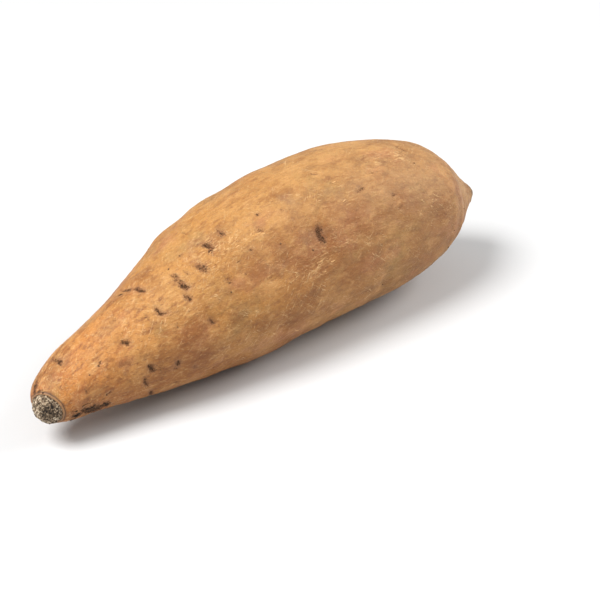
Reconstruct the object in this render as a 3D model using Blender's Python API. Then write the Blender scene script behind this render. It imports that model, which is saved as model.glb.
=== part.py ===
"""White sweet potato: one whole root, lying on the flat of its belly.

Run with: blender --background --python part.py

Metres, +Z up. The root lies along X, from the stem end at -X to the root tip at +X. The origin is under
the middle of its box, on the surface that it lies on. It grew as one piece, so it is one solid: a turned
outline that is carried along a bent spine, swollen and dented by formulas, and cut flat where it rests.
"""

import math

import bmesh
import bpy
import numpy as np

MM = 0.001

# The spine: the centres of the root's sections, as x, y and height in mm, from stem end to root tip.
SPINE = [
    (-110, -5.5, 15.9),
    (-104.5, -3.3, 16.7),
    (-85, -1, 20.5),
    (-60, -1, 23.5),
    (-30, 1.5, 27),
    (0, 2.5, 30.5),
    (35, 1.5, 32),
    (70, -2.5, 31),
    (93, -5, 29),
    (108.8, -9.6, 28.5),
]

# The outline, as if the root were straight and turned: how far along the spine, and the radius, in mm.
# The first five points are the corky plug where the stem broke off, then come its groove and the skin.
OUTLINE = [
    (-3.4, 0),
    (-3.0, 2.7),
    (-1.8, 5),
    (-0.1, 5.9),
    (0.9, 5.9),
    (0.6, 6.2),
    (1.4, 7),
    (5, 9),
    (14, 11.8),
    (28, 15.2),
    (47, 20),
    (67, 25),
    (91, 30.2),
    (118, 31.5),
    (144, 32),
    (168, 30.5),
    (188, 26),
    (200, 20.8),
    (208, 14.4),
    (214, 8.4),
    (220, 2.3),
    (221.4, 0),
]

# Facets: round the girth, and rows from end to end. Rows lie closer where the root is thin.
AROUND = 76
ROWS = 76
ROW_STEP_PER_RADIUS = 0.14
SHORTEST_ROW_STEP = 0.8

# Slow swellings of the girth: how many lobes, their share of the radius, where the first one lies at the
# stem end in degrees from the top, and how many degrees it turns on its way to the tip.
LOBES = [
    (2, 0.020, 100, 70),
    (3, 0.014, 20, -60),
    (5, 0.006, 50, 90),
]
LOBE_FADE = 16

# Bulges and hollows of the flesh: distance along, degrees round from the top towards -Y, radius and
# height in mm.
BULGES = [
    (6, -62, 4.5, 0.8),
    (15, -48, 8, 1.1),
    (30, 150, 12, 0.8),
    (60, 215, 16, 1.2),
    (81, -44, 7, 1.1),
    (100, -36, 9, 0.7),
    (96, 60, 20, -0.8),
    (120, 225, 20, -1.0),
    (122, -31, 9, 1.1),
    (132, 180, 24, 0.9),
    (140, 20, 22, 0.5),
    (149, -30, 14, 0.5),
    (165, 250, 18, 1.2),
    (184, 110, 14, -0.7),
    (181, -22, 9, 0.5),
    (194, -20, 8, 0.8),
    (207, 20, 7, 0.6),
    (209, 100, 7, 1.6),
]

# Eyes: the sunken seams across the grain where side roots came out. Distance along, degrees round from
# the top towards -Y, length across the grain, width along it and depth, in mm.
EYES = [
    (14, 5, 8, 6, 0.4),
    (21, 43, 7, 6, 0.4),
    (33, 40, 9, 6, 0.6),
    (38, 87, 11, 7, 0.6),
    (50, -16, 10, 6, 0.6),
    (50, 32, 10, 7, 0.7),
    (48, 112, 10, 7, 0.7),
    (61, 31, 14, 8, 0.8),
    (64, 68, 11, 7, 0.8),
    (72, 20, 10, 7, 0.5),
    (82, 12, 15, 7, 0.9),
    (87, 44, 10, 7, 0.4),
    (105, 16, 8, 7, 0.5),
    (120, 50, 15, 8, 1.2),
    (140, 38, 10, 7, 0.4),
    (162, 50, 14, 8, 0.6),
    (181, 3, 12, 7, 0.6),
    (95, 105, 13, 8, 0.8),
    (128, 130, 12, 8, 0.7),
    (152, 110, 12, 8, 0.9),
    (188, 150, 12, 7, 0.6),
    (40, 195, 11, 7, 0.6),
    (66, 262, 13, 8, 0.9),
    (92, 300, 10, 7, 0.7),
    (108, 248, 14, 8, 1.0),
    (130, 315, 10, 7, 0.6),
    (146, 268, 14, 8, 1.0),
    (160, 205, 12, 8, 0.7),
    (176, 298, 12, 8, 0.8),
    (192, 235, 11, 7, 0.7),
]

# The rest: how deep the belly is cut flat, in mm.
REST_DEPTH = 0.8

SKIN_COLOUR = (0.62, 0.32, 0.13, 1.0)
SKIN_ROUGHNESS = 0.7


def clear_scene():
    for old in list(bpy.data.objects):
        bpy.data.objects.remove(old, do_unlink=True)


def smooth_curve(points, steps=24):
    """A centripetal Catmull-Rom curve through the points, steps samples to a span."""
    p = np.array(points, float)
    p = np.vstack([2 * p[0] - p[1], p, 2 * p[-1] - p[-2]])
    runs = []
    for a, b, c, d in zip(p[:-3], p[1:-2], p[2:-1], p[3:]):
        t1 = np.linalg.norm(b - a) ** 0.5
        t2 = t1 + np.linalg.norm(c - b) ** 0.5
        t3 = t2 + np.linalg.norm(d - c) ** 0.5
        t = np.linspace(t1, t2, steps, endpoint=False)[:, None]
        ab = a + (b - a) * t / t1
        bc = b + (c - b) * (t - t1) / (t2 - t1)
        cd = c + (d - c) * (t - t2) / (t3 - t2)
        abc = ab + (bc - ab) * t / t2
        bcd = bc + (cd - bc) * (t - t1) / (t3 - t1)
        runs.append(abc + (bcd - abc) * (t - t1) / (t2 - t1))
    return np.vstack([*runs, p[-2:-1]])


def run_lengths(points):
    """How far each point lies along its curve."""
    return np.r_[0, np.cumsum(np.linalg.norm(np.diff(points, axis=0), axis=1))]


def outline_rows(rows):
    """Distance along the spine and radius at each row, closer together where the root is thin."""
    curve = smooth_curve(OUTLINE)
    steps = np.linalg.norm(np.diff(curve, axis=0), axis=1)
    middle = (curve[1:, 1] + curve[:-1, 1]) / 2
    counted = np.r_[0, np.cumsum(steps / np.maximum(SHORTEST_ROW_STEP, ROW_STEP_PER_RADIUS * middle))]
    at = np.linspace(0, counted[-1], rows)
    return np.interp(at, counted, curve[:, 0]), np.interp(at, counted, curve[:, 1])


def spine_frames(along):
    """Centre, upward and sideways direction of the section at each distance along the spine."""
    curve = smooth_curve(SPINE)
    reach = run_lengths(curve)
    slope = np.gradient(curve, reach, axis=0)
    held = np.clip(along, 0, reach[-1])
    centre = np.stack([np.interp(held, reach, curve[:, k]) for k in range(3)], -1)
    ahead = np.stack([np.interp(held, reach, slope[:, k]) for k in range(3)], -1)
    ahead /= np.linalg.norm(ahead, axis=1, keepdims=True)
    centre += (along - held)[:, None] * ahead
    up = np.array([0.0, 0.0, 1.0]) - ahead[:, 2:] * ahead
    up /= np.linalg.norm(up, axis=1, keepdims=True)
    return centre, up, np.cross(ahead, up)


def turn_from(angle, degrees):
    """The shorter turn from a place round the girth to each angle, in radians."""
    return (angle - math.radians(degrees) + math.pi) % (2 * math.pi) - math.pi


def end_fade(along, length):
    """0 at the ends of the root and 1 from LOBE_FADE mm inside them."""
    t = np.clip(np.minimum(along, length - along) / LOBE_FADE, 0, 1)
    return t * t * (3 - 2 * t)


def grown_radius(along, radius, angle):
    """The outline's radius with lobes, bulges and eyes: rows go along the root, columns round it."""
    length = along[-1]
    s, r, a = along[:, None], radius[:, None], angle[None, :]
    fade = end_fade(s, length)
    grown = r * np.ones_like(a)
    for lobes, share, first, turned in LOBES:
        place = np.radians(first + turned * s / length)
        grown = grown + r * share * fade * np.cos(lobes * (a - place))
    for at, degrees, size, height in BULGES:
        off = ((s - at) ** 2 + (r * turn_from(a, degrees)) ** 2) / size**2
        grown = grown + height * np.exp(-off)
    for at, degrees, wide, tall, depth in EYES:
        across = r * turn_from(a, degrees) / (wide / 2)
        off = across**2 + ((s - at) / (tall / 2)) ** 2
        grown = grown - depth * np.exp(-off)
    return grown


def root_points():
    """Rows of points round the root, in mm, with one point at each end."""
    along, radius = outline_rows(ROWS)
    angle = np.arange(AROUND) * 2 * math.pi / AROUND
    centre, up, side = spine_frames(along)
    grown = grown_radius(along[1:-1], radius[1:-1], angle)
    outward = (
        np.cos(angle)[None, :, None] * up[1:-1, None] + np.sin(angle)[None, :, None] * side[1:-1, None]
    )
    return centre[0], centre[1:-1, None] + grown[..., None] * outward, centre[-1]


def skin_mesh():
    """The closed skin as a bmesh: quads between the rows, and a fan at each end."""
    stem, rows, tip = root_points()
    bm = bmesh.new()
    rings = [[bm.verts.new(p * MM) for p in row] for row in rows]
    first, last = bm.verts.new(stem * MM), bm.verts.new(tip * MM)
    for j in range(AROUND):
        k = (j + 1) % AROUND
        bm.faces.new((first, rings[0][k], rings[0][j]))
        bm.faces.new((last, rings[-1][j], rings[-1][k]))
        for near, far in zip(rings[:-1], rings[1:]):
            bm.faces.new((near[j], near[k], far[k], far[j]))
    return bm


def cut_rest(bm):
    """Cuts the belly flat and sets the root down on it, with the origin under the middle of its box."""
    lowest = min(v.co.z for v in bm.verts)
    bmesh.ops.translate(bm, verts=bm.verts, vec=(0, 0, -lowest - REST_DEPTH * MM))
    bmesh.ops.bisect_plane(
        bm,
        geom=bm.verts[:] + bm.edges[:] + bm.faces[:],
        dist=1e-6,
        plane_co=(0, 0, 0),
        plane_no=(0, 0, -1),
        clear_outer=True,
    )
    bmesh.ops.holes_fill(bm, edges=[e for e in bm.edges if e.is_boundary])
    middle = [(min(v.co[k] for v in bm.verts) + max(v.co[k] for v in bm.verts)) / 2 for k in (0, 1)]
    bmesh.ops.translate(bm, verts=bm.verts, vec=(-middle[0], -middle[1], 0))
    bmesh.ops.recalc_face_normals(bm, faces=bm.faces)


def skin_material():
    material = bpy.data.materials.new("tan_skin")
    material.use_nodes = True
    shader = material.node_tree.nodes["Principled BSDF"]
    shader.inputs["Base Color"].default_value = SKIN_COLOUR
    shader.inputs["Roughness"].default_value = SKIN_ROUGHNESS
    shader.inputs["Metallic"].default_value = 0.0
    return material


def build_root():
    bm = skin_mesh()
    cut_rest(bm)
    mesh = bpy.data.meshes.new("tuber")
    bm.to_mesh(mesh)
    bm.free()
    mesh.shade_smooth()
    mesh.materials.append(skin_material())
    root = bpy.data.objects.new("tuber", mesh)
    bpy.context.scene.collection.objects.link(root)
    return root


clear_scene()
build_root()
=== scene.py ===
# %% [markdown]
# # A raw white sweet potato
#
# A sweet potato is a swollen root. It is thickest past its middle, thins to a neck at the stem
# end, and ends in a short point where the thin root went on. It grew in one piece, so there is one
# solid here, and nearly all of the work is in its skin: sunken scars across the grain, pale fibres,
# patches of grey and pink, and a corky plug where the stem broke off. Small loose things lie on the
# skin, and those are scattered at the end.
#
# Positions are in metres. Sizes that a grower would measure are written in millimetres and
# multiplied by `MM`.

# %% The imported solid
import math

import bmesh
import bpy
import numpy as np
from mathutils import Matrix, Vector, noise


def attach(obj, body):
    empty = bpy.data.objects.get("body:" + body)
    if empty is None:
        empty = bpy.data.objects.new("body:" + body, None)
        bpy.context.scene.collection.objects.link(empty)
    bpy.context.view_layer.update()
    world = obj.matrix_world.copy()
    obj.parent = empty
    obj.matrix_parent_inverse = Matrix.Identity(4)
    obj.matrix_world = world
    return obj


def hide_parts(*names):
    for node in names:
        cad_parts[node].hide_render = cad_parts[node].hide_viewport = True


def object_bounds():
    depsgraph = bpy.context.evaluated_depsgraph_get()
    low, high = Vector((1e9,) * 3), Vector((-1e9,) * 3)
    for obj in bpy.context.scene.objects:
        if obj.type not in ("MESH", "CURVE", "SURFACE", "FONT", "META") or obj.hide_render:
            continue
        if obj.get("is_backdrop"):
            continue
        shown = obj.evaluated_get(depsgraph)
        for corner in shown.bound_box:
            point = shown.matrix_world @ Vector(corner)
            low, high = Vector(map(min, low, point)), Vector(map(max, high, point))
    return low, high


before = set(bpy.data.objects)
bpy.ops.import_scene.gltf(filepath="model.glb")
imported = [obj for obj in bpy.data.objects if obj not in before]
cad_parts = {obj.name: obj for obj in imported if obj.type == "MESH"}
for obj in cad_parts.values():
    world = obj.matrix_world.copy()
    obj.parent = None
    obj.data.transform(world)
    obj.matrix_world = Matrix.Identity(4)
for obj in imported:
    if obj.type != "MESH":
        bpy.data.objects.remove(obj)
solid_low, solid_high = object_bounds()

MM = 0.001
solid_size = solid_high - solid_low
print("solid, mm:", [round(side / MM, 1) for side in solid_size])

# %% [markdown]
# ## The form
#
# The root could be sculpted, but its form follows a simple rule, so it is written as one: a turned
# outline is carried along a bent spine, as a lathe shape would be if the lathe's axis could bend.
# The solid was made in the same way, with larger facets. The numbers are in millimetres.

# %% Driving sizes
SPINE = [
    (-110, -5.5, 15.9),
    (-104.5, -3.3, 16.7),
    (-85, -1, 20.5),
    (-60, -1, 23.5),
    (-30, 1.5, 27),
    (0, 2.5, 30.5),
    (35, 1.5, 32),
    (70, -2.5, 31),
    (93, -5, 29),
    (108.8, -9.6, 28.5),
]
OUTLINE = [
    (-3.4, 0),
    (-3.0, 2.7),
    (-1.8, 5),
    (-0.1, 5.9),
    (0.9, 5.9),
    (0.6, 6.2),
    (1.4, 7),
    (5, 9),
    (14, 11.8),
    (28, 15.2),
    (47, 20),
    (67, 25),
    (91, 30.2),
    (118, 31.5),
    (144, 32),
    (168, 30.5),
    (188, 26),
    (200, 20.8),
    (208, 14.4),
    (214, 8.4),
    (220, 2.3),
    (221.4, 0),
]
AROUND = 300  # quads round the girth
ROWS = 316  # rows from end to end
REST_DEPTH = 0.8  # how deep the belly is cut flat
print("points of the spine and the outline:", len(SPINE), len(OUTLINE))

# %% [markdown]
# A centripetal Catmull-Rom curve passes through each of its points and doesn't overshoot where they
# lie close together, which is what the rim of the stem plug needs.


# %% A smooth curve through points
def smooth_curve(points, steps=40):
    p = np.array(points, float)
    p = np.vstack([2 * p[0] - p[1], p, 2 * p[-1] - p[-2]])
    runs = []
    for a, b, c, d in zip(p[:-3], p[1:-2], p[2:-1], p[3:]):
        t1 = np.linalg.norm(b - a) ** 0.5
        t2 = t1 + np.linalg.norm(c - b) ** 0.5
        t3 = t2 + np.linalg.norm(d - c) ** 0.5
        t = np.linspace(t1, t2, steps, endpoint=False)[:, None]
        ab = a + (b - a) * t / t1
        bc = b + (c - b) * (t - t1) / (t2 - t1)
        cd = c + (d - c) * (t - t2) / (t3 - t2)
        abc = ab + (bc - ab) * t / t2
        bcd = bc + (cd - bc) * (t - t1) / (t3 - t1)
        runs.append(abc + (bcd - abc) * (t - t1) / (t2 - t1))
    return np.vstack([*runs, p[-2:-1]])


# %% [markdown]
# The rows of the mesh lie closer together where the root is thin, so that its quads stay nearly
# square. Each row is square to the spine. `angle` runs round the root: 0 is the top, and it grows
# towards the -Y side.


# %% Rows along the outline, and the spine's sections
def outline_rows(rows, shortest=0.25, per_radius=0.0215):
    curve = smooth_curve(OUTLINE)
    steps = np.linalg.norm(np.diff(curve, axis=0), axis=1)
    middle = (curve[1:, 1] + curve[:-1, 1]) / 2
    counted = np.r_[0, np.cumsum(steps / np.maximum(shortest, per_radius * middle))]
    at = np.linspace(0, counted[-1], rows)
    return np.interp(at, counted, curve[:, 0]), np.interp(at, counted, curve[:, 1])


def spine_frames(along):
    curve = smooth_curve(SPINE)
    reach = np.r_[0, np.cumsum(np.linalg.norm(np.diff(curve, axis=0), axis=1))]
    slope = np.gradient(curve, reach, axis=0)
    held = np.clip(along, 0, reach[-1])
    centre = np.stack([np.interp(held, reach, curve[:, k]) for k in range(3)], -1)
    ahead = np.stack([np.interp(held, reach, slope[:, k]) for k in range(3)], -1)
    ahead /= np.linalg.norm(ahead, axis=1, keepdims=True)
    centre += (along - held)[:, None] * ahead
    up = np.array([0.0, 0.0, 1.0]) - ahead[:, 2:] * ahead
    up /= np.linalg.norm(up, axis=1, keepdims=True)
    return centre, up, np.cross(ahead, up)


row_along, row_radius = outline_rows(ROWS)
angle = np.arange(AROUND) * 2 * math.pi / AROUND
centre, up, side = spine_frames(row_along)
s, a = np.meshgrid(row_along, angle, indexing="ij")
radius = np.repeat(row_radius[:, None], AROUND, axis=1)
length = row_along[-1]
print("longest row step, mm:", round(float(np.diff(row_along).max()), 2))

# %% [markdown]
# No root is round. Slow lobes turn round it like the strands of a rope, and the flesh bulges and
# sinks here and there. The eyes are the sunken seams across the grain where side roots came out.

# %% Lobes: how many, share of the radius, degrees round at the stem end, turn on the way
LOBES = [
    (2, 0.020, 100, 70),
    (3, 0.014, 20, -60),
    (5, 0.006, 50, 90),
]
LOBE_FADE = 16  # mm from each end
print("lobes round the girth:", [lobes for lobes, *_ in LOBES])

# %% Bulges: along, degrees round, size, height
BULGES = [
    (6, -62, 4.5, 0.8),
    (15, -48, 8, 1.1),
    (30, 150, 12, 0.8),
    (60, 215, 16, 1.2),
    (81, -44, 7, 1.1),
    (100, -36, 9, 0.7),
    (96, 60, 20, -0.8),
    (120, 225, 20, -1.0),
    (122, -31, 9, 1.1),
    (132, 180, 24, 0.9),
    (140, 20, 22, 0.5),
    (149, -30, 14, 0.5),
    (165, 250, 18, 1.2),
    (184, 110, 14, -0.7),
    (181, -22, 9, 0.5),
    (194, -20, 8, 0.8),
    (207, 20, 7, 0.6),
    (209, 100, 7, 1.6),
]
print("bulges", len(BULGES))

# %% Eyes: along, degrees round, length across the grain, width along it, depth
EYES = [
    (14, 5, 8, 6, 0.4),
    (21, 43, 7, 6, 0.4),
    (33, 40, 9, 6, 0.6),
    (38, 87, 11, 7, 0.6),
    (50, -16, 10, 6, 0.6),
    (50, 32, 10, 7, 0.7),
    (48, 112, 10, 7, 0.7),
    (61, 31, 14, 8, 0.8),
    (64, 68, 11, 7, 0.8),
    (72, 20, 10, 7, 0.5),
    (82, 12, 15, 7, 0.9),
    (87, 44, 10, 7, 0.4),
    (105, 16, 8, 7, 0.5),
    (120, 50, 15, 8, 1.2),
    (140, 38, 10, 7, 0.4),
    (162, 50, 14, 8, 0.6),
    (181, 3, 12, 7, 0.6),
    (95, 105, 13, 8, 0.8),
    (128, 130, 12, 8, 0.7),
    (152, 110, 12, 8, 0.9),
    (188, 150, 12, 7, 0.6),
    (40, 195, 11, 7, 0.6),
    (66, 262, 13, 8, 0.9),
    (92, 300, 10, 7, 0.7),
    (108, 248, 14, 8, 1.0),
    (130, 315, 10, 7, 0.6),
    (146, 268, 14, 8, 1.0),
    (160, 205, 12, 8, 0.7),
    (176, 298, 12, 8, 0.8),
    (192, 235, 11, 7, 0.7),
]
print("eyes", len(EYES))


# %% The girth at each point
def smooth_step(low, high, x):
    """0 below low and 1 above high, with a smooth rise between them."""
    t = np.clip((x - low) / (high - low), 0, 1)
    return t * t * (3 - 2 * t)


def turn_from(degrees):
    """The shorter turn from a place round the girth to each point, in radians."""
    return (a - math.radians(degrees) + math.pi) % (2 * math.pi) - math.pi


def grown_radius():
    fade = smooth_step(0, LOBE_FADE, np.minimum(s, length - s))
    grown = radius.copy()
    for lobes, share, first, turned in LOBES:
        crest = np.radians(first + turned * s / length)
        grown += radius * share * fade * np.cos(lobes * (a - crest))
    for at, degrees, size, height in BULGES:
        off = ((s - at) ** 2 + (radius * turn_from(degrees)) ** 2) / size**2
        grown += height * np.exp(-off)
    for at, degrees, wide, tall, depth in EYES:
        across = radius * turn_from(degrees) / (wide / 2)
        grown -= depth * np.exp(-(across**2 + ((s - at) / (tall / 2)) ** 2))
    return grown


outward = np.cos(a)[..., None] * up[:, None] + np.sin(a)[..., None] * side[:, None]
grown = grown_radius()
place = centre[:, None] + grown[..., None] * outward
swing = grown - radius
print("girth swings, mm:", round(float(swing.min()), 2), "to", round(float(swing.max()), 2))

# %% [markdown]
# ## Marks on the skin
#
# Each scar is a short crooked crack with a dark, corky middle and a dusty border. A crack is given
# by where it lies, how far it tilts from straight across the grain, how long and wide it is, how
# deep, and how dark. The same numbers push the mesh in and fill the masks that the material reads,
# so relief and colour can't drift apart.
#
# The top and the side towards -Y have a list, with one line for each mark. The belly and the back
# get seeded random ones of the same kind.

# %% The scars, in mm: along, degrees round, tilt, length, width, depth, darkness
SCARS = [
    (88.5, 12, 0, 4.2, 1.7, 0.35, 0.8),
    (81.5, 12, 21, 5.0, 2.2, 0.6, 1.0),
    (80.5, 17, -68, 3.4, 1.6, 0.4, 0.9),
    (80, 8, 40, 3.6, 1.6, 0.1, 0.35),
    (73, 24, 19, 5.2, 2.5, 0.3, 0.8),
    (67.5, 19, 17, 3.0, 1.5, 0.25, 0.5),
    (63.5, 13, 12, 3.8, 2.0, 0.3, 0.65),
    (63, 20, 24, 4.0, 1.6, 0.3, 0.65),
    (63.3, 26, 22, 4.4, 2.1, 0.55, 1.0),
    (61.5, 37, 5, 4.0, 1.9, 0.5, 0.9),
    (50.5, 30, 17, 4.4, 1.1, 0.3, 0.8),
    (51, 35, 47, 3.2, 1.0, 0.3, 0.8),
    (50.5, 34, 0, 1.6, 1.6, 0.4, 1.0),
    (51.5, -3, 10, 6.2, 1.6, 0.35, 1.0),
    (51.5, -5, -32, 3.2, 1.1, 0.25, 0.7),
    (50, -19, 20, 5.4, 1.5, 0.3, 0.85),
    (47, -21, 38, 2.4, 1.5, 0.2, 0.85),
    (34.5, 41, 34, 3.8, 2.1, 0.4, 0.8),
    (105.5, 16, 0, 1.4, 1.3, 0.3, 0.8),
    (101.5, 28, 73, 3.8, 1.8, 0.6, 0.62),
    (93.5, 36, 0, 1.6, 1.5, 0.25, 0.7),
    (86.5, 38, 29, 2.0, 1.6, 0.15, 0.4),
    (78.5, 46, 30, 3.8, 2.2, 0.3, 0.5),
    (64.5, 68, 18, 3.6, 1.9, 0.35, 0.8),
    (52.5, 54, 17, 2.4, 1.2, 0.15, 0.4),
    (45.5, 30, 18, 3.0, 1.1, 0.15, 0.4),
    (13.5, -9, 0, 2.8, 1.9, 0.3, 0.85),
    (13.5, -24, -12, 5.0, 2.0, 0.2, 0.5),
    (22.5, 44, 0, 1.0, 1.0, 0.3, 0.9),
    (21.5, 46, 0, 1.2, 1.0, 0.3, 0.85),
    (39.5, 86, 14, 4.0, 2.4, 0.5, 0.95),
    (36.5, 103, 8, 5.2, 2.3, 0.3, 0.75),
    (48.5, 92, 23, 2.0, 1.8, 0.45, 1.0),
    (47.5, 97, 27, 2.8, 1.6, 0.2, 0.5),
    (48.5, 122, 30, 3.8, 1.7, 0.2, 0.5),
    (54.5, 105, 40, 2.0, 1.1, 0.25, 0.8),
    (37.5, 71, 35, 1.0, 0.9, 0.15, 0.5),
    (20.5, 96, -85, 3.0, 1.0, 0.3, 0.8),
    (12.5, 68, 0, 2.0, 1.5, 0.1, 0.4),
    (81, -13, 12, 8.2, 0.9, 0.25, 0.4),
    (71.5, 2, 0, 2.0, 1.3, 0.15, 0.45),
    (36.5, 8, 0, 2.6, 1.8, 0.1, 0.35),
    (122.5, 51, -9, 7.0, 2.9, 0.7, 1.0),
    (122.5, 57, -20, 3.2, 1.7, 0.4, 0.9),
    (135.5, 9, 55, 3.0, 0.9, 0.2, 0.55),
    (128.5, 9, 0, 2.0, 1.4, 0.1, 0.35),
    (148.5, 34, -82, 4.8, 1.6, 0.45, 0.6),
    (139.5, 39, 0, 1.5, 1.4, 0.1, 0.4),
    (162.5, 45, -85, 3.0, 1.5, 0.3, 0.6),
    (163.5, 55, -65, 2.2, 1.3, 0.2, 0.5),
    (181.5, 0, 29, 7.2, 1.5, 0.6, 0.5),
    (178.5, 7, -62, 7.6, 0.8, 0.3, 0.25),
    (166.5, 18, -74, 7.4, 0.9, 0.3, 0.3),
    (158.5, 24, -83, 6.8, 0.9, 0.3, 0.3),
    (170.5, 12, 55, 5.0, 0.8, 0.2, 0.25),
    (185.5, 72, 45, 1.9, 1.2, 0.2, 0.5),
    (193.5, 27, 0, 1.7, 1.2, 0.1, 0.4),
    (113.5, 23, 0, 1.4, 1.1, 0.15, 0.5),
    (112.5, 39, 0, 1.5, 1.2, 0.15, 0.45),
    (6.5, 118, 88, 5.6, 2.8, 0.2, 0.9),
    (10.5, 113, 40, 5.4, 3.4, 0.3, 1.0),
    (14, 121, 78, 8.0, 5.6, 0.35, 1.0),
    (18, 118, 76, 6.8, 2.8, 0.25, 0.9),
    (43, 95, 8, 9.0, 4.0, 0.1, 0.3),
    (3, 316, 77, 5.0, 2.0, 0.25, 0.75),
    (7, -30, 80, 5.6, 1.0, 0.15, 0.4),
]
print("scars listed:", len(SCARS))

# %% Seeded scars for the sides that face away
HIDDEN_SCARS = 74
HIDDEN_ALONG = (8, 205)
HIDDEN_ROUND = (126, 318)
dice = np.random.default_rng(7)


def hidden_scar():
    """A random scar, like the listed ones."""
    kind = dice.choice(["fleck", "short", "long"], p=[0.35, 0.4, 0.25])
    long, wide = {"fleck": (1.5, 1.3), "short": (3.6, 1.7), "long": (6.4, 2.0)}[kind]
    swell = dice.uniform(0.75, 1.3)
    return (
        dice.uniform(*HIDDEN_ALONG),
        dice.uniform(*HIDDEN_ROUND),
        dice.normal(12, 24),
        long * swell,
        wide * dice.uniform(0.7, 1.15),
        dice.uniform(0.2, 0.6),
        dice.uniform(0.35, 1.0),
    )


ALL_SCARS = SCARS + [hidden_scar() for _ in range(HIDDEN_SCARS)]
print("scars in all:", len(ALL_SCARS))

# %% [markdown]
# Perlin noise makes the cracks crooked and the skin uneven. It is read at each point of the root as
# if the root lay straight, so that the pattern follows the bend.

# %% Uneven noise over the skin
straight = np.stack([s, grown * np.cos(a), grown * np.sin(a)], -1)


def skin_noise(size, shift, octaves=3, stretch=1.0):
    """Noise from about -1 to 1 with features of size mm, stretched that much along the root."""
    at = straight / size + shift
    at[..., 0] = straight[..., 0] / (size * stretch) + shift
    flat = at.reshape(-1, 3)
    made = (noise.fractal(Vector(p), 1.0, 2.0, octaves) for p in flat)
    return np.fromiter(made, float, len(flat)).reshape(s.shape)


# Each noise gets a shift of its own, so that no two are alike.
wander_u = skin_noise(1.6, 3.1, 2)
wander_v = skin_noise(2.2, 17.7, 2)
lumps = skin_noise(9, 41.3, 2, 1.6)
pebble = skin_noise(1.3, 8.9, 3, 1.3)
flutes = skin_noise(3.2, 27.5, 2, 7)
print("lumps span", round(float(np.ptp(lumps)), 2), "and pebble", round(float(np.ptp(pebble)), 2))


# %% Scars pressed into the skin
def across_and_along(at, degrees, tilt):
    """Distance in mm from a mark's middle, along its own length and square to it."""
    t = math.radians(tilt)
    across = grown * turn_from(degrees)
    lengthwise = s - at
    u = across * math.cos(t) + lengthwise * math.sin(t)
    return u, lengthwise * math.cos(t) - across * math.sin(t)


HALO_WIDTH = 1.5  # mm that the dusty border adds
crack, halo, pressed = np.zeros_like(s), np.zeros_like(s), np.zeros_like(s)
for at, degrees, tilt, long, wide, depth, dark in ALL_SCARS:
    u, v = across_and_along(at, degrees, tilt)
    u = u + 0.5 * wander_u
    v = v + 0.45 * wander_v
    core = np.exp(-((2 * u / long) ** 4) - (2 * v / wide) ** 2)
    long, wide = (long + HALO_WIDTH) / 1.5, (wide + HALO_WIDTH) / 1.5
    round_it = np.exp(-((u / long) ** 2) - (v / wide) ** 2)
    crack = np.maximum(crack, dark * core)
    halo = np.maximum(halo, dark * round_it)
    pressed = np.maximum(pressed, depth * (0.75 * core + 0.35 * round_it))
print("share of skin that is cracked:", round(float((crack > 0.3).mean()), 3))

# %% [markdown]
# The plug of cork at the stem end is torn plant fibre: rough, grey and almost black in its
# hollows, most of all a little above its middle. Round it runs a thin double rim of dried skin. All
# of this is found by the outline's radius, which grows from the plug's middle outwards.

# %% The plug and its double rim, in mm
PLUG_EDGE = (6.08, 5.96)
RIM, RIM_WIDTH = 6.14, 0.12
OUTER_RIM, OUTER_RIM_WIDTH = 6.95, 0.16
DARK_HEART, DARK_HEART_SIZE = (2.9, 2.2), 3.0

near_stem = smooth_step(3.5, 2.5, s)
cork = smooth_step(*PLUG_EDGE, radius) * near_stem
rim = np.exp(-(((radius - RIM) / RIM_WIDTH) ** 2)) * near_stem
rim_outer = np.exp(-(((radius - OUTER_RIM) / OUTER_RIM_WIDTH) ** 2)) * near_stem
rim_band = smooth_step(6.1, 6.3, radius) * smooth_step(7.1, 6.8, radius) * near_stem
torn = skin_noise(1.1, 61.0, 3)
from_heart = (straight[..., 1] - DARK_HEART[0]) ** 2 + (straight[..., 2] - DARK_HEART[1]) ** 2
cork_heart = np.exp(-from_heart / DARK_HEART_SIZE**2) * near_stem
print("rows of the mesh on the plug:", int((cork[:, 0] > 0.5).sum()))

# %% [markdown]
# Soil has stuck below the plug, and a little of it elsewhere. Near the other end the skin has a few
# soft folds that run round the root, made by a cosine along it. At the very end a cosine round the
# girth gathers the skin in pleats, where the thin root dried off and left a small corky nub. The
# material darkens the hollows of the folds and pleats, which is painted shade.

# %% Soil, in mm: along, degrees round, size, strength
SOIL = [
    (6, 118, 5, 1.0),
    (10, 116, 6, 1.0),
    (14, 121, 6, 1.0),
    (18, 119, 5, 0.9),
    (2, 318, 4, 0.8),
    (5, 300, 5, 0.7),
    (10, 190, 8, 0.6),
    (28, 250, 6, 0.4),
    (205, 160, 7, 0.4),
]
soil = np.zeros_like(s)
for at, degrees, size, strength in SOIL:
    u, v = across_and_along(at, degrees, 0)
    soil = np.maximum(soil, strength * np.exp(-((u / size) ** 2) - (v / (0.6 * size)) ** 2))
soil *= smooth_step(-0.25, 0.35, skin_noise(2.0, 77.0, 3, 1.8))
print("share of points under soil:", round(float((soil > 0.3).mean()), 3))

# %% Folds, pleats and the nub at the root tip, in mm
FIRST_FOLD, FOLD_APART = 197, 8.6
PLEATS = 11
NUB_STARTS, NUB_WHOLE = 217, 219.6

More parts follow.
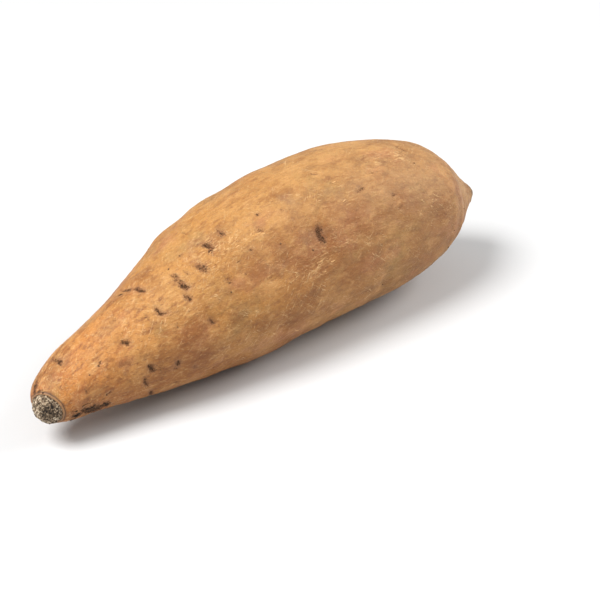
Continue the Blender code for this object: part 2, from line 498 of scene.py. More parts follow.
near_tip = smooth_step(186, 194, s) * smooth_step(213, 204, s)
fold_sides = np.exp(-((turn_from(108) / 0.85) ** 4)) + 0.7 * np.exp(-(turn_from(245) ** 4))
folds_on = s - FIRST_FOLD + 2.5 * skin_noise(16, 13.0, 1)
fold_wave = 0.5 + 0.5 * np.cos(folds_on * 2 * math.pi / FOLD_APART)
wrinkle = near_tip * fold_sides * smooth_step(0.1, 1.0, fold_wave)
pleat_wave = 0.5 + 0.5 * np.cos(PLEATS * a + 2.4 * skin_noise(7, 19.0, 2))
pleats = pleat_wave * smooth_step(207, 214, s) * smooth_step(220.5, 218.5, s)
tip_cork = smooth_step(NUB_STARTS, NUB_WHOLE, s + 1.4 * torn)
print("folds about every", FOLD_APART, "mm, and", PLEATS, "pleats")

# %% [markdown]
# In flaky patches the thin outer skin has cracked into cream ridges with brown gaps.

# %% Flaky patches, in mm: along, degrees round, size, strength
FLAKY = [
    (82, 18, 7, 1.0),
    (88, 21, 5, 0.8),
    (76, 24, 6, 0.8),
    (60, 40, 8, 0.6),
    (99, 30, 3, 0.7),
    (22, 41, 4, 0.6),
    (20, 93, 4, 0.8),
    (9, 330, 5, 0.6),
    (175, 12, 6, 0.8),
    (163, 15, 6, 0.6),
    (142, 31, 7, 0.6),
    (118, 70, 8, 0.6),
    (50, 200, 9, 0.8),
    (92, 285, 9, 0.8),
    (110, 170, 10, 0.6),
    (130, 312, 8, 0.7),
    (152, 232, 10, 0.9),
    (186, 262, 8, 0.7),
]
flaky = np.zeros_like(s)
for at, degrees, size, strength in FLAKY:
    u, v = across_and_along(at, degrees, 0)
    flaky = np.maximum(flaky, strength * np.exp(-((u / size) ** 2) - (v / size) ** 2))
flaky *= smooth_step(-0.5, 0.3, skin_noise(3.0, 91.0, 2, 2))
print("share of points that are flaky:", round(float((flaky > 0.3).mean()), 3))

# %% [markdown]
# Besides its small patches, the skin is more brown in some broad places and more pale in others.
# The brown places low on the side towards -Y, from about 35 to 100 degrees round, are painted
# shade, and the long pale places along the top edge, from about 120 to 190 mm along, are painted
# light; the others are the skin's own uneven tone. Each line is one such place. A strength above 0
# is brown, and one below 0 is pale.

# %% Tints and painted light and shade, mm: along, degrees round, size along, size round, strength
TINTS_AND_PAINTED_SHADING = [
    (90, 50, 10, 10, 0.9),
    (105, 61, 9, 9, 1.0),
    (110, 46, 9, 7, 0.6),
    (121, 56, 7, 9, 0.9),
    (133, 46, 10, 8, 0.8),
    (150, 52, 12, 7, 0.7),
    (167, 60, 12, 8, 0.6),
    (184, 70, 9, 7, 0.6),
    (130, 80, 22, 14, 0.6),
    (57, 76, 9, 12, 1.0),
    (42, 96, 8, 7, 0.6),
    (12, 338, 7, 4.5, 0.9),
    (5, 342, 4, 3.5, 0.7),
    (52, 350, 7, 4, 0.7),
    (150, 240, 16, 12, 0.5),
    (84, 200, 14, 9, 0.5),
    (104, 347, 6, 4, -0.8),
    (36, 64, 4, 3, -0.4),
    (22, 43, 3, 2.5, -0.5),
    (4.5, 12, 2.5, 3, -0.5),
    (33, 6, 4, 4, -0.6),
    (14, 78, 4, 3, -0.5),
    (42, 44, 5, 4, -0.35),
    (78, 315, 5, 4, -0.3),
    (61, 349, 5, 3.5, -0.55),
    (161, 30, 5, 7, -0.45),
    (167, 42, 5, 5, -0.4),
    (194, 38, 4, 9, -0.7),
    (108, 31, 5, 4, -0.3),
    (75, 24, 7, 5, -0.2),
    (120, 290, 12, 9, -0.5),
    (60, 250, 9, 7, -0.4),
    (31, 61, 3.5, 3.5, -0.75),
    (23, 30, 4, 4, -0.35),
    (58, 74, 8, 8, 0.4),
    (99, 62, 9, 5, 0.5),
    (100, 34, 5, 5, 0.4),
    (110, 42, 5, 5, 0.3),
    (119, 60, 6, 5, 0.4),
    (152, 338, 26, 4, -0.35),
    (133, 332, 10, 4, -0.3),
    (164, 0, 12, 4, -0.2),
    (185, 18, 6, 8, -0.45),
    (131, 21, 7, 5, -0.3),
    (97, 14, 5, 4, -0.25),
    (206, 78, 4, 6, 0.5),
]


def blotches(marks):
    """Soft marks added up. Each has a place, a size along and round the root, and a strength."""
    total = np.zeros_like(s)
    for at, degrees, size_along, size_round, strength in marks:
        u, v = across_and_along(at, degrees, 0)
        total += strength * np.exp(-((u / size_round) ** 2) - (v / size_along) ** 2)
    return total


shade = blotches(TINTS_AND_PAINTED_SHADING) * smooth_step(-0.9, 0.3, skin_noise(6, 23.0, 3, 1.6))
print("shades span", round(float(shade.min()), 2), "to", round(float(shade.max()), 2))

# %% [markdown]
# Two kinds of mark are left. An ashen smudge lies where the skin was rubbed, and a small pale wart
# stands where a side root died back.

# %% Ashen smudges, written like the tints, and warts, in mm: along, degrees round, size
ASHEN = [
    (117.3, 19, 4.5, 4.5, 0.9),
    (79, 4, 3, 3, 0.5),
    (66, 228, 8, 6, 0.7),
    (134, 262, 9, 7, 0.8),
    (168, 310, 6, 5, 0.7),
]
WARTS = [
    (99.6, 31, 1.7),
    (63, 205, 1.7),
    (141, 238, 1.8),
    (172, 282, 1.5),
]
ashen = blotches(ASHEN) * smooth_step(-0.6, 0.3, skin_noise(4, 66.0, 3, 1.4))
warts = blotches([(at, degrees, size, size, 1.0) for at, degrees, size in WARTS])
shade -= 0.9 * warts
print("ashen smudges", len(ASHEN), "and warts", len(WARTS))

# %% [markdown]
# All of this adds up to one relief, in millimetres, that moves each point outwards or inwards. The
# root is then set down on its belly, as deep as the solid is cut flat there.

# %% Relief, in mm, and the points of the skin
relief = 0.3 * lumps + 0.08 * pebble + 0.14 * flutes * (1 - cork)
relief -= pressed
relief += cork * (0.4 * torn - 0.1)
relief -= 0.2 * rim_outer + 0.15 * rim
relief -= 0.25 * wrinkle + 0.22 * pleats
relief += 0.3 * tip_cork * torn
relief += 0.16 * flaky * skin_noise(0.9, 52.0, 2, 4)
relief += 0.12 * soil + 0.5 * warts
relief *= smooth_step(0, 1.5, length - s)
place = place + relief[..., None] * outward
place[0] = centre[0]
place[-1] = centre[-1]
place[..., 2] -= place[..., 2].min() + REST_DEPTH
place[..., 2] = np.maximum(place[..., 2], 0)
print("relief, mm:", round(float(relief.min()), 2), "to", round(float(relief.max()), 2))

# %% [markdown]
# The finer skin must stay inside the solid's box, so it is centred over it and made a hair smaller
# where a bump would stand proud.

# %% Fitted to the solid's box
low, high = place.reshape(-1, 3).min(0), place.reshape(-1, 3).max(0)
fit = np.minimum(1, np.array(solid_size) / MM / (high - low))
middle = (low + high) / 2
place = (place - [middle[0], middle[1], 0]) * fit
solid_middle = (solid_low + solid_high) / 2
skin_points = place * MM + [solid_middle.x, solid_middle.y, solid_low.z]
print("scaled by", fit.round(4))


# %% [markdown]
# ## The skin's mesh
#
# The rows become rings of quads, closed by a point at each end. Masks are stored on the points as
# attributes, where the material can read them.


# %% Rings of quads
def ring_mesh(name, points):
    rows, round_count = points.shape[:2]
    ring = points[1:-1].reshape(-1, 3)
    corners = [*map(tuple, ring), tuple(points[0, 0]), tuple(points[-1, 0])]
    first, last = len(ring), len(ring) + 1
    last_ring = (rows - 3) * round_count
    faces = []
    for j in range(round_count):
        k = (j + 1) % round_count
        faces.append((first, k, j))
        faces.append((last, last_ring + j, last_ring + k))
        for i in range(rows - 3):
            here, there = i * round_count, (i + 1) * round_count
            faces.append((here + j, here + k, there + k, there + j))
    mesh = bpy.data.meshes.new(name)
    mesh.from_pydata(corners, [], faces)
    mesh.shade_smooth()
    return mesh


def point_values(grid):
    """A value for each point of ring_mesh, from the grid of rows."""
    flat = grid[1:-1].reshape(-1, *grid.shape[2:])
    return np.concatenate([flat, grid[:1, 0], grid[-1:, 0]]).astype(np.float32)


def add_mask(mesh, name, grid):
    layer = mesh.attributes.new(name, "FLOAT", "POINT")
    layer.data.foreach_set("value", point_values(grid))


def add_places(mesh, name, grid):
    layer = mesh.attributes.new(name, "FLOAT_VECTOR", "POINT")
    layer.data.foreach_set("vector", point_values(grid).ravel())


# %% The skin and its masks
# Painted shade: the skin gets darker and more orange the further a point turns from this angle
PAINTED_SHADE_LEAST_AT = math.radians(15)
MASKS = {
    "crack": np.clip(crack, 0, 1),
    "halo": np.clip(halo, 0, 1),
    "cork": cork,
    "cork_heart": cork_heart,
    "browner": np.clip(shade, 0, 1),
    "paler": np.clip(-shade, 0, 1),
    "ashen": ashen,
    "rim": np.maximum(rim, rim_outer),
    "rim_band": rim_band,
    "soil": np.clip(soil, 0, 1),
    # the hollows of the folds and pleats, which get painted shade in the material
    "wrinkle": np.maximum(wrinkle, 0.45 * pleats),
    "tip_cork": tip_cork,
    "flaky": flaky,
    "along": s / length,
    # painted shade: least a little towards -Y from the top, most on the belly
    "under": 0.5 - 0.5 * np.cos(a - PAINTED_SHADE_LEAST_AT),
}
skin_mesh = ring_mesh("skin", skin_points)
for name, grid in MASKS.items():
    add_mask(skin_mesh, name, grid)
print("masks on the skin:", len(MASKS))


# %% [markdown]
# Three more attributes are places: the root laid straight, and the same untwisted to the left and
# to the right. Noise that is stretched along such a root runs round the real one in long screws, as
# its fibres do.


# %% The untwisted root, for its fibres
SLENDEREST = 9  # mm, or the screws would turn too often at the ends


def untwisted(lean):
    """The root laid straight, each section turned back by a screw that leans from its axis."""
    pitch = np.tan(math.radians(lean)) / np.maximum(row_radius, SLENDEREST)
    turned = a - np.r_[0, np.cumsum(np.diff(row_along) * pitch[1:])][:, None]
    return np.stack([s, grown * np.cos(turned), grown * np.sin(turned)], -1) * MM


add_places(skin_mesh, "grain", untwisted(0))
add_places(skin_mesh, "screw_left", untwisted(38))
add_places(skin_mesh, "screw_right", untwisted(-44))
skin = bpy.data.objects.new("skin", skin_mesh)
bpy.context.scene.collection.objects.link(skin)
skin_mesh.calc_loop_triangles()
print("skin triangles", len(skin_mesh.loop_triangles))

# %% [markdown]
# ## Shader maths
#
# `Wire` wraps one socket of a node. Plus, minus and times on wires add Math nodes, so a mask can
# be written as it would be on paper. `node` makes any other node.


# %% A socket that can be reckoned with
class Wire:
    def __init__(self, tree, socket):
        self.tree, self.socket = tree, socket

    def node(self, kind, settings=None, sockets=None, out=0):
        """A new node: its settings first, then a value or a wire for each of its sockets."""
        made = self.tree.nodes.new(kind)
        for key, value in (settings or {}).items():
            if key == "stops":
                self.set_stops(made.color_ramp, value)
            else:
                setattr(made, key, value)
        for key, value in (sockets or {}).items():
            if isinstance(value, Wire):
                self.tree.links.new(value.socket, made.inputs[key])
            else:
                made.inputs[key].default_value = value
        return Wire(self.tree, made.outputs[out])

    @staticmethod
    def set_stops(ramp, stops):
        """A ramp starts with two stops, so the rest are added before all of them are set."""
        for at, _ in stops[2:]:
            ramp.elements.new(at)
        for stop, (at, colour) in zip(ramp.elements, sorted(stops)):
            stop.position, stop.color = at, colour

    def other(self, name):
        """Another output of the node that this wire comes from."""
        return Wire(self.tree, self.socket.node.outputs[name])

    def maths(self, operation, *values, clamp=False):
        settings = {"operation": operation, "use_clamp": clamp}
        return self.node("ShaderNodeMath", settings, dict(enumerate(values)))

    def __add__(self, other):
        return self.maths("ADD", self, other)

    def __sub__(self, other):
        return self.maths("SUBTRACT", self, other)

    def __rsub__(self, other):
        return self.maths("SUBTRACT", other, self)

    def __mul__(self, other):
        return self.maths("MULTIPLY", self, other)

    def __abs__(self):
        return self.maths("ABSOLUTE", self)

    def most(self, other):
        return self.maths("MAXIMUM", self, other)

    def held(self):
        """The same, but not below 0 or above 1."""
        return self.maths("ADD", self, 0.0, clamp=True)

    def step(self, low, high):
        """0 below low and 1 above high, with a smooth rise between them."""
        sockets = {"Value": self, "From Min": low, "From Max": high}
        settings = {"interpolation_type": "SMOOTHSTEP"}
        return self.node("ShaderNodeMapRange", settings, sockets)

    __radd__ = __add__
    __rmul__ = __mul__


# %% [markdown]
# Skin tones are written as they look on a screen, from 0 to 255, and turned into the linear values
# that a shader needs.


# %% Tones, noise and mixing
MIX_AMOUNT, MIX_BELOW, MIX_ABOVE, MIX_COLOUR = 0, 6, 7, 2
ATTRIBUTE_VECTOR, ATTRIBUTE_NUMBER = 1, 2


def tone(red, green, blue):
    return (*(((c / 255 + 0.055) / 1.055) ** 2.4 for c in (red, green, blue)), 1.0)


def mixed(below, above, amount):
    """The colour below with the colour above laid over it by that amount."""
    wire = amount if isinstance(amount, Wire) else below
    settings = {"data_type": "RGBA", "blend_type": "MIX", "clamp_factor": True}
    sockets = {MIX_AMOUNT: amount, MIX_BELOW: below, MIX_ABOVE: above}
    return wire.node("ShaderNodeMix", settings, sockets, out=MIX_COLOUR)


def speckle(at, size, detail=3.0, rough=0.55, twist=0.0):
    """Noise with features of about size mm, read at that place."""
    sockets = {
        "Vector": at,
        "Scale": 1 / (size * MM),
        "Detail": detail,
        "Roughness": rough,
        "Distortion": twist,
    }
    return at.node("ShaderNodeTexNoise", {"noise_dimensions": "3D"}, sockets)


def stretched(at, lengthwise, shift=0.0):
    """Places squeezed along the root, so that a noise read there is stretched that many times."""
    sockets = {"Vector": at, "Scale": (1 / lengthwise, 1, 1), "Location": (shift, shift, shift)}
    return at.node("ShaderNodeMapping", {"vector_type": "POINT"}, sockets)


def mask(wire, name):
    return wire.node("ShaderNodeAttribute", {"attribute_name": name}, out=ATTRIBUTE_NUMBER)


def places(wire, name):
    return wire.node("ShaderNodeAttribute", {"attribute_name": name}, out=ATTRIBUTE_VECTOR)


def new_material(name):
    """An empty material, its shader, and a wire to start from."""
    material = bpy.data.materials.new(name)
    material.use_nodes = True
    tree = material.node_tree
    shader = tree.nodes["Principled BSDF"]
    return material, shader, Wire(tree, tree.nodes.new("ShaderNodeTexCoord").outputs["Object"])


def plug_in(wire, shader, name):
    wire.tree.links.new(wire.socket, shader.inputs[name])


# %% [markdown]
# ## The skin's finish
#
# From far off the skin is a tan that is more orange at the stem end and more beige at the root
# end. It is also made darker and more orange the further it turns round from the top towards the
# belly, which is painted shade. Closer by, it has broad patches of olive grey and dusty pink,
# darker flecks along the grain, and fine pale fibres that cross each other on the slant. A painted
# image could hold all that, but noise does it at any size and leaves no seam. Each tone is laid
# over the ones before it by an amount that a noise or a mask gives.

# %% Ground colour and patches
skin_finish, skin_shader, here = new_material("skin_finish")
along = mask(here, "along")
grain = places(here, "grain")
ground = mixed(tone(184, 121, 60), tone(176, 124, 64), along.step(0.03, 0.32))
ground = mixed(ground, tone(160, 117, 72), along.step(0.36, 0.76))
ground = mixed(ground, tone(179, 136, 88), along.step(0.82, 0.97))
# Painted shade: darker and more orange the further the skin turns from the top towards the belly
ground = mixed(ground, tone(142, 84, 32), mask(here, "under").step(0.1, 0.6) * 0.68)

broad = speckle(here, 26, 2, 0.5)
ground = mixed(ground, tone(188, 141, 84), broad.step(0.44, 0.64) * 0.55)
patch = speckle(stretched(grain, 1.7, 0.3), 12, 4, 0.6, 0.4)
ground = mixed(ground, tone(134, 86, 44), patch.step(0.48, 0.66) * 0.68)
olive = speckle(stretched(grain, 1.3, 0.7), 22, 4, 0.62, 0.3)
ground = mixed(ground, tone(146, 114, 68), olive.step(0.5, 0.68) * 0.6)
pink = speckle(stretched(grain, 1.4, 1.1), 14, 3, 0.6)
ground = mixed(ground, tone(166, 112, 76), pink.step(0.5, 0.68) * 0.6)

# Painted shade in part: the brown places low on the -Y side, 35 to 100 degrees round
ground = mixed(ground, tone(132, 78, 34), mask(here, "browner") * 0.74)
# Painted light in part: the long pale places on the top edge, 120 to 190 mm along
ground = mixed(ground, tone(200, 150, 92), mask(here, "paler") * 0.8)
ground = mixed(ground, tone(132, 107, 84), mask(here, "ashen") * 0.58)

# %% [markdown]
# The grain is made of noises that are stretched along the root. Each gives a dark tone where it is
# high and a pale one where it is low. They are strongest at the stem end.

# %% Flecks and streaks along the grain
plain = 1 - along.step(0.3, 0.7) * 0.35 + (1 - along.step(0.15, 0.38)) * 0.45
mottle = speckle(stretched(grain, 1.5, 1.9), 5.5, 4, 0.65)
ground = mixed(ground, tone(128, 90, 56), mottle.step(0.5, 0.66) * along.step(0.3, 0.5) * 0.45)
pale_mottle = (1 - mottle).step(0.52, 0.68)
ground = mixed(ground, tone(194, 146, 92), pale_mottle * along.step(0.3, 0.5) * 0.4)
fleck = speckle(stretched(grain, 2.2, 0.2), 2.8, 4, 0.65)
ground = mixed(ground, tone(118, 70, 38), fleck.step(0.5, 0.7) * plain * 0.5)
ground = mixed(ground, tone(206, 160, 104), (1 - fleck).step(0.54, 0.76) * plain * 0.4)
streak = speckle(stretched(grain, 9, 0.9), 1.5, 4, 0.6)
ground = mixed(ground, tone(124, 70, 38), streak.step(0.55, 0.73) * plain * 0.3)
ruddy = streak.step(0.48, 0.66) * (1 - along.step(0.05, 0.3))
ground = mixed(ground, tone(150, 84, 38), ruddy * 0.4)
# Partly painted shading: this fine grain is dark where the bump sinks and pale where it rises
bran_and_painted_shading = speckle(stretched(grain, 1.8, 0.6), 1.0, 3, 0.7)
ground = mixed(ground, tone(112, 68, 40), bran_and_painted_shading.step(0.52, 0.72) * plain * 0.36)
ground = mixed(ground, tone(214, 168, 114), (1 - bran_and_painted_shading).step(0.53, 0.72) * plain * 0.34)


# %% [markdown]
# A fibre is the thin line where a stretched noise passes through its middle value. Broken by a
# second noise, the lines end and begin, and no two cross in the same way.


# %% Pale fibres
def fibres(screw, size, stretch, shift, width):
    level = speckle(stretched(screw, stretch, shift), size, 2, 0.5)
    line = 1 - abs(level - 0.5).step(0.0, width)
    ends = speckle(stretched(screw, 1.5, shift + 0.37), 2.4, 3, 0.6)
    return line * ends.step(0.52, 0.64)


left_fibres = fibres(places(here, "screw_left"), 1.6, 7, 0.15, 0.03)
right_fibres = fibres(places(here, "screw_right"), 1.8, 8, 0.65, 0.028)
long_fibres = fibres(grain, 1.5, 10, 0.45, 0.024)
fibre = left_fibres.most(right_fibres).most(long_fibres * 0.7)
fibre_room = speckle(here, 20, 2, 0.5).step(0.42, 0.62)
fibre = fibre * (0.2 + fibre_room * 0.8)
ground = mixed(ground, tone(226, 184, 130), fibre * 0.6)

# %% Cream ridges and brown gaps of the flaky patches
flaky_mask = mask(here, "flaky")
ridges = speckle(stretched(grain, 4.5, 0.85), 0.75, 3, 0.6)
ground = mixed(ground, tone(138, 88, 48), (1 - ridges).step(0.5, 0.62) * flaky_mask * 0.7)
ground = mixed(ground, tone(226, 184, 128), ridges.step(0.52, 0.66) * flaky_mask * 0.7)

# %% [markdown]
# A scar's mask is soft, because the mesh can't hold a fine edge. The material breaks it up with two
# fine noises: a brown smudge with a dusty border first, and then the dark cork in its middle.

# %% Cracks, soil and folds
grit = speckle(here, 0.7, 3, 0.7)
fine = speckle(here, 0.42, 2, 0.6)
crack_mask, halo_mask = mask(here, "crack"), mask(here, "halo")
dusty = (halo_mask + (grit - 0.5) * 0.9).step(0.2, 1.0)
smudge = (crack_mask + (fine - 0.5) * 1.6).step(0.0, 0.85)
ragged = (crack_mask + (grit - 0.5) * 3.0).step(0.3, 1.1)
ground = mixed(ground, tone(156, 116, 82), dusty * 0.5)
ground = mixed(ground, tone(112, 64, 30), smudge * 0.75)
ground = mixed(ground, tone(56, 35, 12), ragged * 0.92)

soil_mask = (mask(here, "soil") + (grit - 0.5) * 1.2).step(0.3, 0.8)
ground = mixed(ground, tone(34, 23, 12), soil_mask * 0.93)
# Painted shade: the hollows of the folds and pleats near the tip are darkened
ground = mixed(ground, tone(112, 72, 34), mask(here, "wrinkle") * 0.4)
nub = mixed(tone(58, 42, 27), tone(146, 120, 86), grit.step(0.36, 0.64))
ground = mixed(ground, nub, mask(here, "tip_cork") * 0.8)

# %% [markdown]
# The plug's tone comes from one coarse noise through a ramp, from black hollows to cream fibre
# ends. A slower noise makes it uneven, and a mask makes its heart darker.

# %% The cork plug and its rim
cork_stops = [
    (0.34, tone(16, 12, 9)),
    (0.44, tone(68, 54, 40)),
    (0.52, tone(128, 108, 85)),
    (0.6, tone(188, 168, 142)),
    (0.69, tone(236, 222, 200)),
]
cork_grain = speckle(here, 0.85, 3, 0.8) + (speckle(here, 4, 1, 0.5) - 0.5) * 0.3
cork_grain = cork_grain - mask(here, "cork_heart") * 0.095
cork_tone = cork_grain.node("ShaderNodeValToRGB", {"stops": cork_stops}, {"Fac": cork_grain})
cork_mask = mask(here, "cork")
ground = mixed(ground, tone(150, 118, 88), mask(here, "rim_band") * 0.6)
ground = mixed(ground, tone(58, 40, 30), mask(here, "rim") * 0.85)
ground = mixed(ground, cork_tone, cork_mask)
plug_in(ground, skin_shader, "Base Color")

# %% [markdown]
# The skin is dull, with a faint waxy sheen, and cork and soil are duller still. By bump, the fibres
# and the ridges of the flaky patches stand up a little, and dark flecks and streaks lie lower.

# %% Gloss and fine relief
rough = 0.56 + ragged * 0.3 + soil_mask * 0.3 + cork_mask * 0.3 + (fine - 0.5) * 0.25
plug_in(rough.held(), skin_shader, "Roughness")
height = fibre * 0.4 + fine * 0.3 - fleck * 0.6 - streak * 0.4 - bran_and_painted_shading * 1.1
height = height + ridges * flaky_mask * 1.2 + soil_mask * 0.4
height = height + cork_mask * grit * 1.6 - ragged * 0.8
bump_sockets = {"Strength": 0.8, "Distance": 0.32 * MM, "Height": height}
plug_in(height.node("ShaderNodeBump", sockets=bump_sockets), skin_shader, "Normal")
SKIN_CONSTANTS = {
    "Specular IOR Level": 0.3,
    "Subsurface Weight": 0.06,
    "Subsurface Radius": (1.0, 0.45, 0.2),
    "Subsurface Scale": 2.5 * MM,
}
for name, value in SKIN_CONSTANTS.items():
    skin_shader.inputs[name].default_value = value
skin_mesh.materials.append(skin_finish)
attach(skin, "root")
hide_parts("tuber")
print("skin finish has", len(skin_finish.node_tree.nodes), "nodes")

# %% [markdown]
# ## Small loose things
#
# Root hairs, papery flakes and crumbs of soil are many and alike, so each kind is one small shape
# that Geometry Nodes strews over the skin where a mask says so. A copy is laid along the root and
# turned by up to `Spread`. Then each of its points is put over the nearest place of the skin, as
# high above it as it stands in the shape, so that a long copy bends with the root.


# %% Its inputs, and three small helpers
STREWN_SOCKETS = {
    "Skin": "Geometry",
    "Shape": "Object",
    "Where": "String",
    "Per Square Metre": "Float",
    "Smallest": "Float",
    "Largest": "Float",
    "Spread": "Float",
    "Seed": "Int",
    "Finish": "Material",
}
RANDOM_LOW, RANDOM_HIGH, RANDOM_SEED, RANDOM_FLOAT = 2, 3, 8, 1


def named(wire, name):
    return wire.node("GeometryNodeInputNamedAttribute", {"data_type": "FLOAT"}, {"Name": name})


def random_between(wire, low, high, seed):
    sockets = {RANDOM_LOW: low, RANDOM_HIGH: high, RANDOM_SEED: seed}
    return wire.node("FunctionNodeRandomValue", sockets=sockets, out=RANDOM_FLOAT)


def at_foot(skin_wire, kind):
    """A field of the skin, read at the place of it that is nearest to each point."""
    settings = {"data_type": "FLOAT_VECTOR"}
    sockets = {"Mesh": skin_wire, "Value": skin_wire.node(kind)}
    return skin_wire.node("GeometryNodeSampleNearestSurface", settings, sockets)


# %% The tree that strews
def strewing_tree():
    tree = bpy.data.node_groups.new("strewn", "GeometryNodeTree")
    for name, kind in STREWN_SOCKETS.items():
        tree.interface.new_socket(name, in_out="INPUT", socket_type="NodeSocket" + kind)
    tree.interface.new_socket("Strewn", in_out="OUTPUT", socket_type="NodeSocketGeometry")
    given = Wire(tree, tree.nodes.new("NodeGroupInput").outputs["Skin"])

    density = named(given, given.other("Where")) * given.other("Per Square Metre")
    sockets = {"Mesh": given, "Density": density, "Seed": given.other("Seed")}
    points = given.node("GeometryNodeDistributePointsOnFaces", sockets=sockets)
    size = random_between(points, given.other("Smallest"), given.other("Largest"), 2)
    sockets = {"Geometry": points, "Name": "size", "Value": size}
    points_sized = points.node("GeometryNodeStoreNamedAttribute", sockets=sockets)

    sockets = {"Rotation": points.other("Rotation"), "Vector": (1, 0, 0)}
    settings = {"axis": "X", "pivot_axis": "Z"}
    laid = points.node("FunctionNodeAlignRotationToVector", settings, sockets)
    spread = given.other("Spread")
    heading = random_between(points, spread * -1, spread, 1)
    sockets = {"Axis": (0, 0, 1), "Angle": heading}
    turn = heading.node("FunctionNodeAxisAngleToRotation", sockets=sockets)
    sockets = {"Rotation": laid, "Rotate By": turn}
    turned = laid.node("FunctionNodeRotateRotation", {"rotation_space": "LOCAL"}, sockets)

    shape = given.node("GeometryNodeObjectInfo", sockets={"Object": given.other("Shape")})
    sockets = {
        "Points": points_sized,
        "Instance": shape.other("Geometry"),
        "Rotation": turned,
        "Scale": named(given, "size"),
    }
    copies = given.node("GeometryNodeInstanceOnPoints", sockets=sockets)
    real = copies.node("GeometryNodeRealizeInstances", sockets={"Geometry": copies})

    height_over = named(given, "rise") * named(given, "size")
    foot = at_foot(given, "GeometryNodeInputPosition")
    sockets = {0: at_foot(given, "GeometryNodeInputNormal"), 1: height_over, 2: foot}
    over = given.node("ShaderNodeVectorMath", {"operation": "MULTIPLY_ADD"}, sockets)
    put = real.node("GeometryNodeSetPosition", sockets={"Geometry": real, "Position": over})
    sockets = {"Geometry": put, "Material": given.other("Finish")}
    finished = put.node("GeometryNodeSetMaterial", sockets=sockets)
    tree.links.new(finished.socket, tree.nodes.new("NodeGroupOutput").inputs["Strewn"])
    return tree


strewing = strewing_tree()
print("strewing tree has", len(strewing.nodes), "nodes")

# %% [markdown]
# The shapes are of unit length, along X, and pointed at both ends. A hair is round and wavy, a
# flake is wide, thin and curls up at one end, and a crumb is a lump. Their heights are stored as
# `rise`, and they lie a little in the skin, as things that stick to it do.


# %% The shapes
def strand(name, rings, sides, half_width, half_height, sway, curl):
    """A closed strand of unit length, with that many rings and sides."""
    bm = bmesh.new()
    rise = bm.verts.layers.float.new("rise")

    def corner(x, across, above):
        y = sway * math.sin(7 * x) + across
        z = curl * max(0, x) ** 2 + above
        vert = bm.verts.new((x, y, z))
        vert[rise] = z
        return vert

    def loop(x):
        slim = math.sqrt(1 - (2 * x) ** 2)
        turns = [2 * math.pi * j / sides for j in range(sides)]
        rises = [half_height * (0.6 + slim * math.sin(t)) for t in turns]
        return [corner(x, half_width * slim * math.cos(t), z) for t, z in zip(turns, rises)]

    loops = [loop(x) for x in np.linspace(-0.5, 0.5, rings + 2)[1:-1]]
    first, last = corner(-0.5, 0, 0), corner(0.5, 0, half_height * 0.6)
    for j in range(sides):
        k = (j + 1) % sides
        bm.faces.new((first, loops[0][k], loops[0][j]))
        bm.faces.new((last, loops[-1][j], loops[-1][k]))
        for near, far in zip(loops[:-1], loops[1:]):
            bm.faces.new((near[j], near[k], far[k], far[j]))
    bmesh.ops.recalc_face_normals(bm, faces=bm.faces)
    mesh = bpy.data.meshes.new(name)
    bm.to_mesh(mesh)
    bm.free()
    mesh.shade_smooth()
    shape = bpy.data.objects.new(name, mesh)
    bpy.context.scene.collection.objects.link(shape)
    return shape


hair_shape = strand("hair_shape", 7, 4, 0.015, 0.015, 0.025, 0.0)
flake_shape = strand("flake_shape", 5, 6, 0.1, 0.02, 0.03, 0.25)
crumb_shape = strand("crumb_shape", 3, 6, 0.42, 0.3, 0.05, 0.0)
for shape in (hair_shape, flake_shape, crumb_shape):
    print(shape.name, "has", len(shape.data.polygons), "faces")


# %% Their finishes
def plain_finish(name, dark, light, size):
    """A dull finish that varies between two tones over that many mm."""
    finish, shader, here = new_material(name)
    varied = speckle(here, size, 3, 0.6).step(0.35, 0.65)
    plug_in(mixed(dark, light, varied), shader, "Base Color")
    shader.inputs["Roughness"].default_value = 0.8
    return finish


hair_finish = plain_finish("hair_finish", tone(190, 142, 88), tone(228, 190, 134), 3)
flake_finish = plain_finish("flake_finish", tone(178, 124, 72), tone(218, 172, 116), 2)
crumb_finish = plain_finish("crumb_finish", tone(44, 30, 20), tone(104, 76, 50), 0.8)

# %% [markdown]
# Nothing may stand outside the solid's box or lie under the belly, so every mask is multiplied by
# `room`, which is 0 there. The plug stays bare too. Each kind is then made a plain mesh of its own,
# because an export drops instances.

# %% Where they lie
inside = np.minimum(skin_points - np.array(solid_low), np.array(solid_high) - skin_points)
room = smooth_step(0.7, 1.2, inside.min(-1) / MM) * smooth_step(2, 4, place[..., 2])
room *= 1 - cork
add_mask(skin_mesh, "hairs_where", room * smooth_step(-0.3, 0.3, skin_noise(30, 33.0, 2)))
add_mask(skin_mesh, "flakes_where", room * smooth_step(0.25, 0.6, flaky))
add_mask(skin_mesh, "crumbs_where", room * np.maximum(smooth_step(0.3, 0.7, soil), 0.004))
print("share of points with room:", round(float((room > 0.5).mean()), 3))


# %% Strewn over the skin
def strew(name, shape, where, per_square_metre, sizes, spread, seed, finish):
    piece = bpy.data.objects.new(name, skin_mesh)
    bpy.context.scene.collection.objects.link(piece)
    modifier = piece.modifiers.new("strewn", "NODES")
    modifier.node_group = strewing
    asked = {
        "Shape": shape,
        "Where": where,
        "Per Square Metre": per_square_metre,
        "Smallest": sizes[0] * MM,
        "Largest": sizes[1] * MM,
        "Spread": math.radians(spread),
        "Seed": seed,
        "Finish": finish,
    }
    for socket in strewing.interface.items_tree:
        if socket.name in asked:
            modifier[socket.identifier] = asked[socket.name]
    depsgraph = bpy.context.evaluated_depsgraph_get()
    made = bpy.data.meshes.new_from_object(piece.evaluated_get(depsgraph))
    piece.modifiers.remove(modifier)
    piece.data = made
    made.name = name
    bpy.data.objects.remove(shape)
    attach(piece, "root")
    made.calc_loop_triangles()
    print(name, "have", len(made.loop_triangles), "triangles")


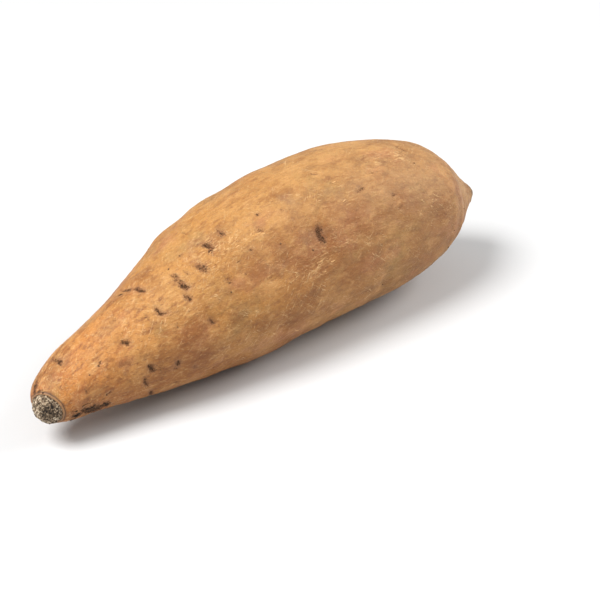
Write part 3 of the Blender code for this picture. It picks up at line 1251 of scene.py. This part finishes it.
strew("hairs", hair_shape, "hairs_where", 1700.0, (2.5, 5.5), 65, 3, hair_finish)
strew("flakes", flake_shape, "flakes_where", 140000.0, (0.9, 2.6), 28, 5, flake_finish)
strew("crumbs", crumb_shape, "crumbs_where", 300000.0, (0.3, 0.8), 180, 8, crumb_finish)

# %% [markdown]
# ## Where it lies
#
# The root lies on a plain pale floor in soft daylight that comes from above and the left. The
# floor and the lights aren't part of the object.

# %% Floor
FLOOR_REACH = 3.0
corners = ((-1, -1, 0), (1, -1, 0), (1, 1, 0), (-1, 1, 0))
floor_corners = [Vector(corner) * FLOOR_REACH for corner in corners]
floor_mesh = bpy.data.meshes.new("floor")
floor_mesh.from_pydata(floor_corners, [], [(0, 1, 2, 3)])
floor = bpy.data.objects.new("floor", floor_mesh)
bpy.context.scene.collection.objects.link(floor)
floor_finish, floor_shader, _ = new_material("floor_finish")
floor_shader.inputs["Base Color"].default_value = (0.6, 0.6, 0.6, 1)
floor_shader.inputs["Roughness"].default_value = 0.9
floor_mesh.materials.append(floor_finish)
floor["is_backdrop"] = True
print("floor reaches", FLOOR_REACH, "m each way")

# %% [markdown]
# The camera looks at the heart of the root from the stem end's side and from above, from three
# quarters of a metre. The shift of its lens puts the root a little left of and above the middle of
# the picture.

# %% Camera
CAMERA_TURN = math.radians(42)
CAMERA_RISE = math.radians(30)
CAMERA_AWAY = 0.75
CAMERA_LENS, CAMERA_SENSOR = 116.1, 36
CAMERA_SHIFT = (0.0705, -0.055)
to_right = Vector((math.cos(CAMERA_TURN), -math.sin(CAMERA_TURN), 0))
to_front = Vector((-math.sin(CAMERA_TURN), -math.cos(CAMERA_TURN), 0))
to_camera = to_front * math.cos(CAMERA_RISE) + Vector((0, 0, math.sin(CAMERA_RISE)))
heart = Vector((0, 0, 31 * MM))
camera = bpy.data.objects.new("camera", bpy.data.cameras.new("camera"))
bpy.context.scene.collection.objects.link(camera)
camera.location = heart + to_camera * CAMERA_AWAY
camera.rotation_euler = (heart - camera.location).to_track_quat("-Z", "Y").to_euler()
camera.data.lens, camera.data.sensor_width = CAMERA_LENS, CAMERA_SENSOR
camera.data.shift_x, camera.data.shift_y = CAMERA_SHIFT
bpy.context.scene.camera = camera
print("camera at", [round(c, 3) for c in camera.location])


# %% [markdown]
# A wide lamp stands for the window. A weaker one stands for a bright wall across the room, and the
# pale world fills the shadows.


# %% Lights
def soft_light(name, right, front, above, size, power):
    """A round lamp so many metres from the heart of the root, and turned towards it."""
    lamp = bpy.data.lights.new(name, "AREA")
    lamp.shape, lamp.size, lamp.energy = "DISK", size, power
    light = bpy.data.objects.new(name, lamp)
    bpy.context.scene.collection.objects.link(light)
    light.location = heart + to_right * right + to_front * front + Vector((0, 0, above))
    light.rotation_euler = (heart - light.location).to_track_quat("-Z", "Y").to_euler()
    print(name, "shines with", power, "watts")


soft_light("window", -0.7, 0.38, 1.15, 0.8, 28)
soft_light("wall", 1.1, -0.3, 0.8, 0.8, 14)
ROOM_LIGHT = 0.43
world = bpy.data.worlds.new("pale_room")
world.use_nodes = True
background = world.node_tree.nodes["Background"]
background.inputs["Color"].default_value = (1, 1, 1, 1)
background.inputs["Strength"].default_value = ROOM_LIGHT
bpy.context.scene.world = world
bpy.context.scene.view_settings.view_transform = "Standard"

# %% [markdown]
# ## Sizes
#
# The box of the visible model is printed beside the box of the solid.

# %% Boxes and the end
seen_low, seen_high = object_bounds()
boxes = {
    "solid": [list(solid_low), list(solid_high)],
    "visible": [list(seen_low), list(seen_high)],
}
for name, corners in boxes.items():
    print(name, "box, mm:", [[round(c / MM, 2) for c in corner] for corner in corners])
